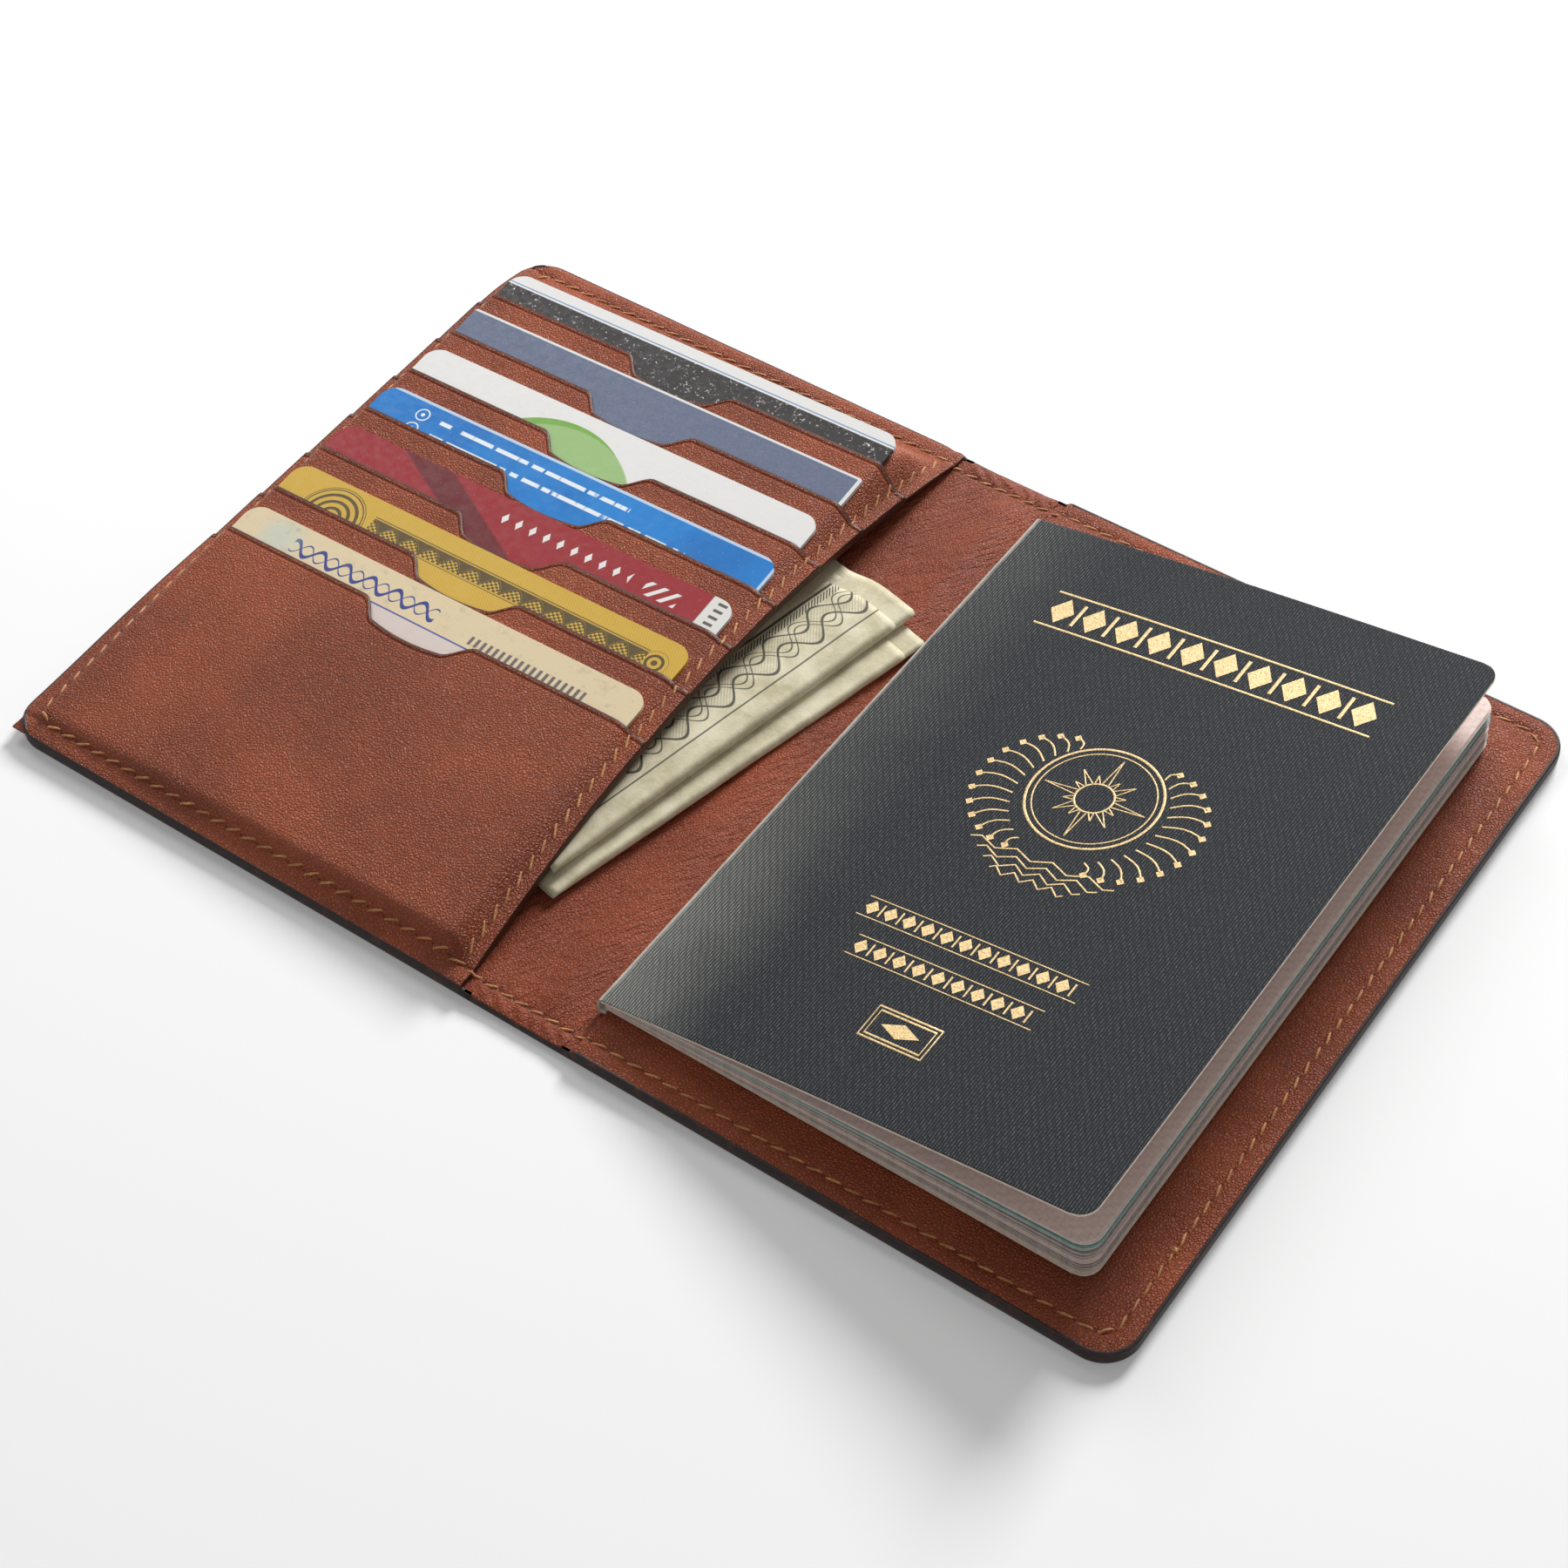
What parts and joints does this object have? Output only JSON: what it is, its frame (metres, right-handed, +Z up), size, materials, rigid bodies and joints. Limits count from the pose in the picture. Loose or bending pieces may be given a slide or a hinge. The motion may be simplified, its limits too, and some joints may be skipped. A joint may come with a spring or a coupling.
{
  "type": "passport holder",
  "caption": "Open leather passport holder with a stepped bank card panel, a bill pocket and a sleeve that holds a passport, shown filled.",
  "frame": {"origin": "middle of the spine on the underside of the outer leather, the face that the open holder lies on", "axes": "+X from the card side to the passport side, +Y along the spine to the top edge, +Z up out of the inner faces"},
  "size_m": [0.2136, 0.142, 0.019],
  "materials": {
    "cover_leather": "grained cognac brown leather with dark painted edges",
    "lining_leather": "soft cognac brown lining leather",
    "pocket_leather": "grained cognac brown leather, dark edges",
    "board": "thin backing board",
    "thread": "waxed orange tan thread",
    "card_plastic": "smooth printed plastic card",
    "page_paper": "pale uncoated paper",
    "passport_cloth": "dark navy linen book cloth",
    "note_paper": "soft worn pale green note paper"
  },
  "bodies": {
    "spine": {"outer_cover_spine": "cover_leather", "lining_spine": "lining_leather", "stitches_spine": "thread"},
    "left_cover": {"outer_cover_left": "cover_leather", "stiffener_left": "board", "lining_left": "lining_leather", "card_panel_backing": "pocket_leather", "card_pocket_1": "pocket_leather", "card_pocket_2": "pocket_leather", "card_pocket_3": "pocket_leather", "card_pocket_4": "pocket_leather", "card_pocket_5": "pocket_leather", "card_pocket_6": "pocket_leather", "card_pocket_7": "pocket_leather", "stitches_left": "thread", "stitches_card_edge": "thread", "banknote_bundle_1": "note_paper", "banknote_bundle_2": "note_paper"},
    "right_cover": {"outer_cover_right": "cover_leather", "stiffener_right": "board", "lining_right": "lining_leather", "passport_pocket": "pocket_leather", "stitches_right": "thread"},
    "passport": {"passport_back_cover": "passport_cloth"},
    "passport_front_cover": {"passport_front_cover": "passport_cloth"},
    "card_1": {"card_1": "card_plastic"},
    "card_2": {"card_2": "card_plastic"},
    "card_3": {"card_3": "card_plastic"},
    "card_4": {"card_4": "card_plastic"},
    "card_5": {"card_5": "card_plastic"},
    "card_6": {"card_6": "card_plastic"},
    "card_7": {"card_7": "card_plastic"},
    "passport_pages_1": {"passport_pages_1": "page_paper"},
    "passport_pages_2": {"passport_pages_2": "page_paper"},
    "passport_pages_3": {"passport_pages_3": "page_paper"},
    "passport_pages_4": {"passport_pages_4": "page_paper"},
    "passport_pages_5": {"passport_pages_5": "page_paper"},
    "passport_pages_6": {"passport_pages_6": "page_paper"}
  },
  "joints": [
    {"name": "left_fold", "type": "hinge", "parent": "spine", "child": "left_cover", "pos_m": [-0.0088, 0, 0.0017], "axis": [0, 1, 0], "range_deg": [0, 87], "deforming": ["banknote_bundle_1", "banknote_bundle_2"]},
    {"name": "right_fold", "type": "hinge", "parent": "spine", "child": "right_cover", "pos_m": [0.0088, 0, 0.0017], "axis": [0, -1, 0], "range_deg": [0, 87]},
    {"name": "card_1_slide", "type": "slide", "parent": "left_cover", "child": "card_1", "axis": [-0.0033, 0.9945, 0.1049], "range_m": [0, 0.048]},
    {"name": "card_2_slide", "type": "slide", "parent": "left_cover", "child": "card_2", "axis": [-0.0033, 0.9945, 0.1049], "range_m": [0, 0.048]},
    {"name": "card_3_slide", "type": "slide", "parent": "left_cover", "child": "card_3", "axis": [-0.0033, 0.9945, 0.1049], "range_m": [0, 0.048]},
    {"name": "card_4_slide", "type": "slide", "parent": "left_cover", "child": "card_4", "axis": [-0.0033, 0.9945, 0.1049], "range_m": [0, 0.048]},
    {"name": "card_5_slide", "type": "slide", "parent": "left_cover", "child": "card_5", "axis": [-0.0033, 0.9945, 0.1049], "range_m": [0, 0.048]},
    {"name": "card_6_slide", "type": "slide", "parent": "left_cover", "child": "card_6", "axis": [-0.0033, 0.9945, 0.1049], "range_m": [0, 0.048]},
    {"name": "card_7_slide", "type": "slide", "parent": "left_cover", "child": "card_7", "axis": [-0.0033, 0.9945, 0.1049], "range_m": [0, 0.048]},
    {"name": "passport_slide", "type": "slide", "parent": "right_cover", "child": "passport", "axis": [0.8829, 0, -0.4695], "range_m": [-0.1, 0], "deforming": ["passport_pocket"]},
    {"name": "passport_opening", "type": "hinge", "parent": "passport", "child": "passport_front_cover", "pos_m": [0.0099, 0, 0.0031], "axis": [0, 1, 0], "range_deg": [-135, 8]},
    {"name": "pages_1_turn", "type": "hinge", "parent": "passport", "child": "passport_pages_1", "pos_m": [0.0099, 0, 0.0031], "axis": [0, 1, 0], "range_deg": [-4.37, 0.27]},
    {"name": "pages_2_turn", "type": "hinge", "parent": "passport", "child": "passport_pages_2", "pos_m": [0.0099, 0, 0.0031], "axis": [0, 1, 0], "range_deg": [-17.43, 1.04]},
    {"name": "pages_3_turn", "type": "hinge", "parent": "passport", "child": "passport_pages_3", "pos_m": [0.0099, 0, 0.0031], "axis": [0, 1, 0], "range_deg": [-30.49, 1.82]},
    {"name": "pages_4_turn", "type": "hinge", "parent": "passport", "child": "passport_pages_4", "pos_m": [0.0099, 0, 0.0031], "axis": [0, 1, 0], "range_deg": [-43.56, 2.59]},
    {"name": "pages_5_turn", "type": "hinge", "parent": "passport", "child": "passport_pages_5", "pos_m": [0.0099, 0, 0.0031], "axis": [0, 1, 0], "range_deg": [-56.63, 3.37]},
    {"name": "pages_6_turn", "type": "hinge", "parent": "passport", "child": "passport_pages_6", "pos_m": [0.0099, 0, 0.0031], "axis": [0, 1, 0], "range_deg": [-69.68, 4.14]}
  ],
  "couplings": [
    {"joint": "right_fold", "follows": "left_fold", "ratio": 1},
    {"joint": "pages_1_turn", "follows": "passport_opening", "ratio": 0.0323},
    {"joint": "pages_2_turn", "follows": "passport_opening", "ratio": 0.129},
    {"joint": "pages_3_turn", "follows": "passport_opening", "ratio": 0.2258},
    {"joint": "pages_4_turn", "follows": "passport_opening", "ratio": 0.3226},
    {"joint": "pages_5_turn", "follows": "passport_opening", "ratio": 0.4194},
    {"joint": "pages_6_turn", "follows": "passport_opening", "ratio": 0.5161}
  ]
}
